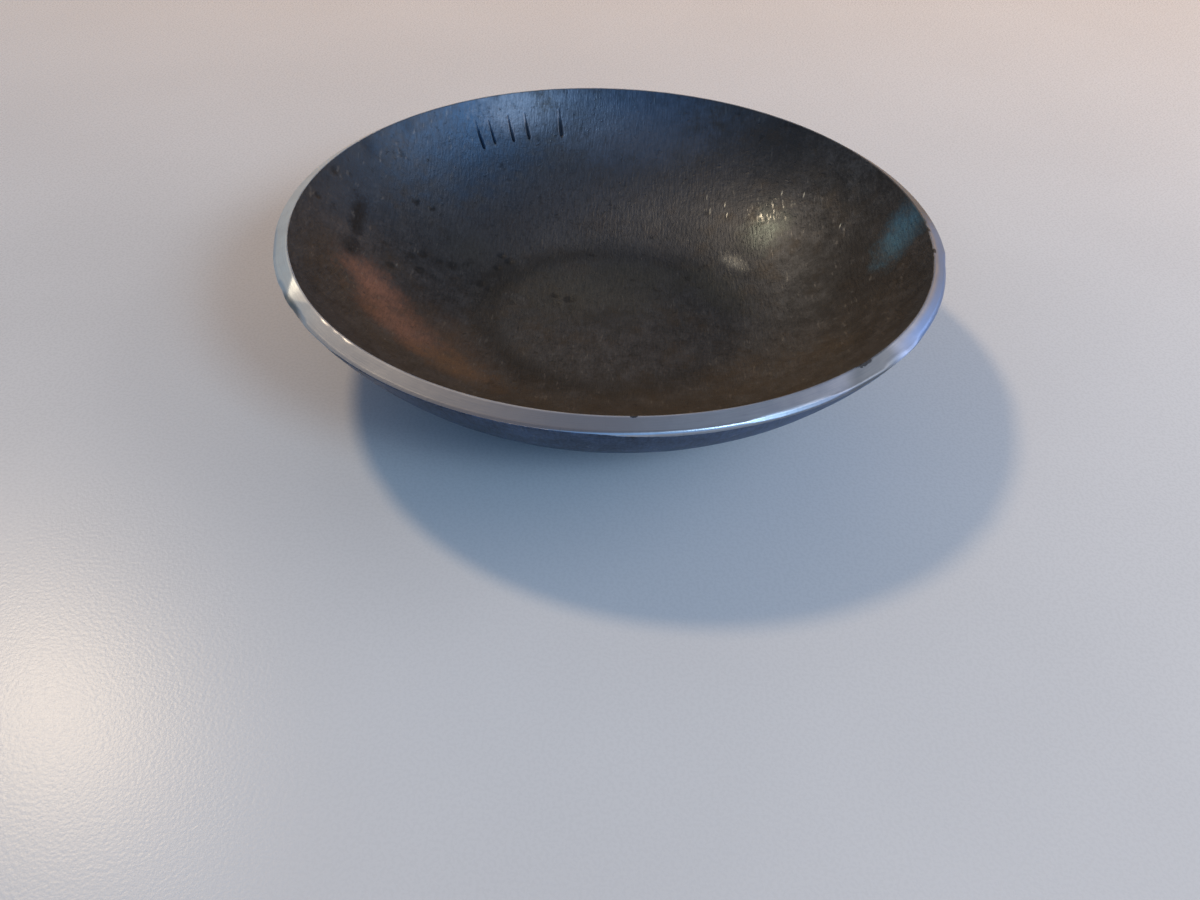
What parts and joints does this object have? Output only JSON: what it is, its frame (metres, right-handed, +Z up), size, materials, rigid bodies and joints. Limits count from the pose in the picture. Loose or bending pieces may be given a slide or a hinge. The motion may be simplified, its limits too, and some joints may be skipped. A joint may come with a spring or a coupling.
{
  "type": "bowl",
  "caption": "Shallow round iron bowl forged from plate, with a flat base, a dark pitted forge skin, a bright ground edge and chisel strokes on the inside wall.",
  "frame": {"origin": "centre of the flat base, on the surface that the bowl stands on", "axes": "+Z up along the bowl's axis; the chisel strokes are on the inside wall at +Y, a little towards -X"},
  "size_m": [0.1394, 0.1394, 0.0287],
  "materials": {
    "forge_skin": "dark, waxed forge scale with pits",
    "ground_edge": "ground and filed, satin"
  },
  "bodies": {
    "root": {"forged_dish": "forge_skin", "ground_rim": "ground_edge"}
  },
  "joints": []
}
